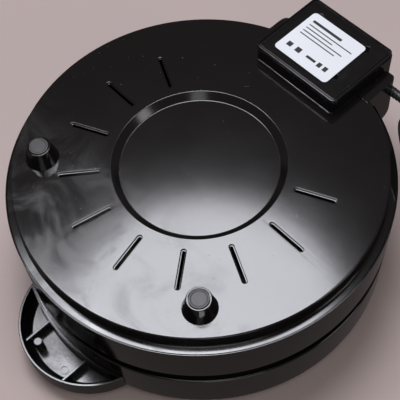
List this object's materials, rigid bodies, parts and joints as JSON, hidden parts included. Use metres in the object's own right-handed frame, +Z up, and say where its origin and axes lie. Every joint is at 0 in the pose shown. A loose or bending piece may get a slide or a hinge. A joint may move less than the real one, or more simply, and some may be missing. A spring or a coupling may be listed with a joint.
{
  "type": "tortilla maker",
  "caption": "Round electric countertop tortilla maker with a hinged lid, a hollow handle, coated cooking plates, front feet, a rear box and a mains cord.",
  "frame": {"origin": "middle of the bounding box at the standing surface, cord left out: midway between the handle's front and the rear box's back", "axes": "+Z up with the cooker standing on its two front feet and rear box, +Y towards the hinge and the rear box, -Y towards the handle, +X across the hinge"},
  "size_m": [0.401, 0.4634, 0.1383],
  "materials": {
    "gloss_black": "polished moulded plastic",
    "satin_black": "satin soft plastic",
    "foot_rubber": "matt",
    "cord_black": "smooth mains sheath",
    "plate_coating": "dark non-stick coating on cast aluminium",
    "steel": "bare",
    "screw_zinc": "zinc plated",
    "label_white": "matt film",
    "lens_red": "clear tinted",
    "lens_green": "clear tinted",
    "ceramic_white": "unglazed",
    "lamp_board": "lacquered",
    "wire_sleeve": "woven glass sleeve"
  },
  "bodies": {
    "base": {"base_housing": "gloss_black", "bottom_cover": "gloss_black", "rear_box_cover": "gloss_black", "rating_label": "label_white", "box_cover_screw_1": "screw_zinc", "box_cover_screw_2": "screw_zinc", "box_cover_screw_3": "screw_zinc", "box_cover_screw_4": "screw_zinc", "front_foot_left": "gloss_black", "front_foot_right": "gloss_black", "foot_pad_left": "foot_rubber", "foot_pad_right": "foot_rubber", "foot_screw_left": "screw_zinc", "foot_screw_right": "screw_zinc", "lower_plate": "plate_coating", "lower_heating_element": "steel", "lower_heat_shield": "steel", "lower_shield_screw_1": "screw_zinc", "lower_shield_screw_2": "screw_zinc", "lower_shield_screw_3": "screw_zinc", "lower_thermostat": "ceramic_white", "lower_thermal_fuse": "ceramic_white", "hinge_pin_left": "steel", "hinge_pin_right": "steel", "cord_strain_relief": "satin_black", "terminal_block": "ceramic_white", "supply_wire_live": "wire_sleeve", "supply_wire_neutral": "wire_sleeve", "heater_wire_live": "wire_sleeve", "heater_wire_neutral": "wire_sleeve", "power_cord": "cord_black", "cord_coil": "cord_black", "coil_tie": "satin_black", "plug": "cord_black", "plug_pin_left": "steel", "plug_pin_right": "steel"},
    "lid": {"lid_housing": "gloss_black", "lid_handle": "gloss_black", "handle_screw_left": "screw_zinc", "handle_screw_right": "screw_zinc", "lid_hinge_arm_left": "gloss_black", "lid_hinge_arm_right": "gloss_black", "upper_plate": "plate_coating", "upper_heating_element": "steel", "upper_heat_shield": "steel", "upper_shield_screw_1": "screw_zinc", "upper_shield_screw_2": "screw_zinc", "upper_shield_screw_3": "screw_zinc", "upper_thermostat": "ceramic_white", "upper_thermal_fuse": "ceramic_white", "power_lens": "lens_red", "ready_lens": "lens_green", "lamp_board": "lamp_board"}
  },
  "joints": [
    {"name": "lid_hinge", "type": "hinge", "parent": "base", "child": "lid", "pos_m": [0, 0.1716, 0.053], "axis": [-1, 0, 0], "range_deg": [0, 95]}
  ]
}
